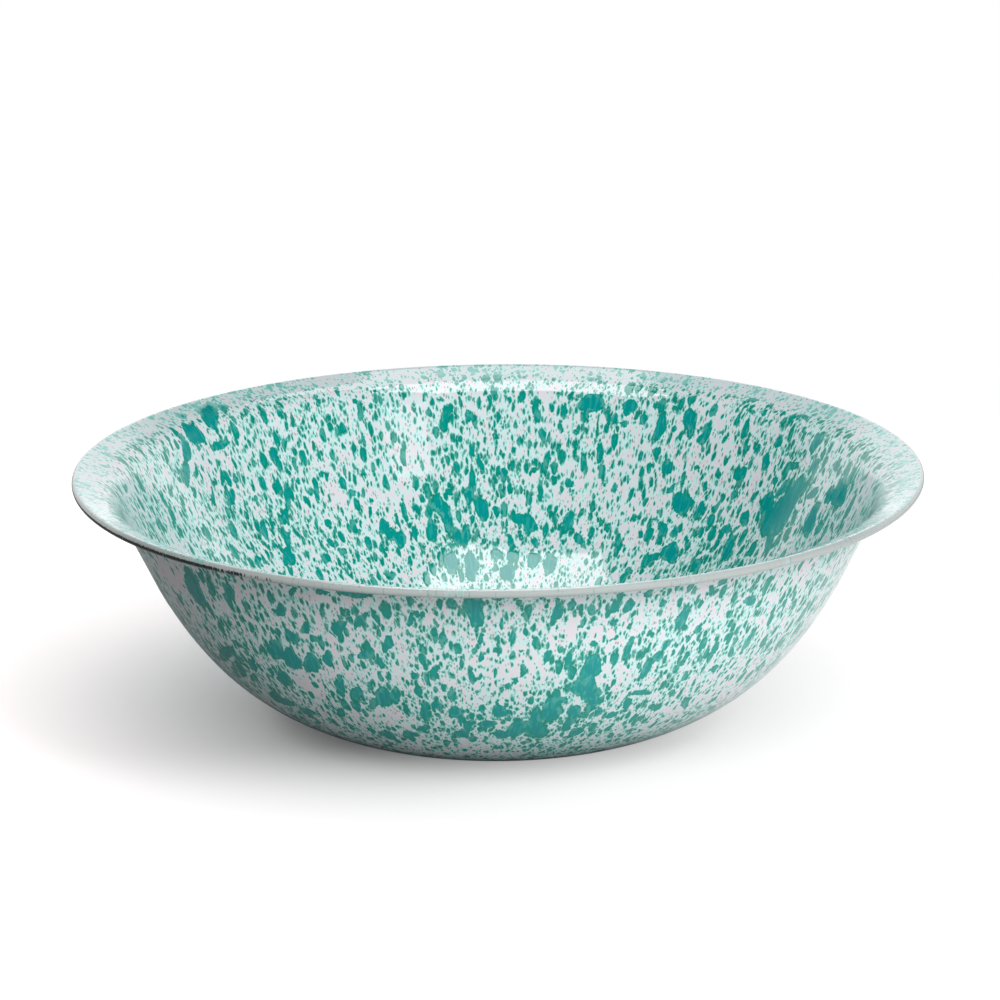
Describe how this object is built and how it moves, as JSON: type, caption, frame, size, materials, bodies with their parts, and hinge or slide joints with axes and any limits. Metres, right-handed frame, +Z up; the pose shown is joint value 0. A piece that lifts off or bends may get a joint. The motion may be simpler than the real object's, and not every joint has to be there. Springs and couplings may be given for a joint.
{
  "type": "enamel basin bowl",
  "caption": "Wide pressed steel basin bowl with a flared flange and a rolled rim, coated in white enamel with fused teal flecks inside and out.",
  "frame": {"origin": "on the surface that the bowl stands on, under the middle of the bowl", "axes": "+Z up along the bowl's axis of symmetry; +X to the right and +Y away in the pictured view"},
  "size_m": [0.4599, 0.46, 0.135],
  "materials": {
    "steel_sheet": "plain pressed low carbon steel sheet, hidden under the enamel except inside the hollow bead",
    "ground_enamel": "dark blue-black ground coat enamel, seen only where the white is thin on the rim",
    "white_enamel": "glossy slightly cool white cover enamel",
    "teal_enamel": "glossy teal enamel flecks fused into the white, with pale mint halos"
  },
  "bodies": {
    "root": {"steel_shell": "steel_sheet", "ground_coat_inside": "ground_enamel", "ground_coat_outside": "ground_enamel", "white_coat_inside": "white_enamel", "white_coat_outside": "white_enamel", "teal_flecks_inside": "teal_enamel", "teal_flecks_outside": "teal_enamel"}
  },
  "joints": []
}
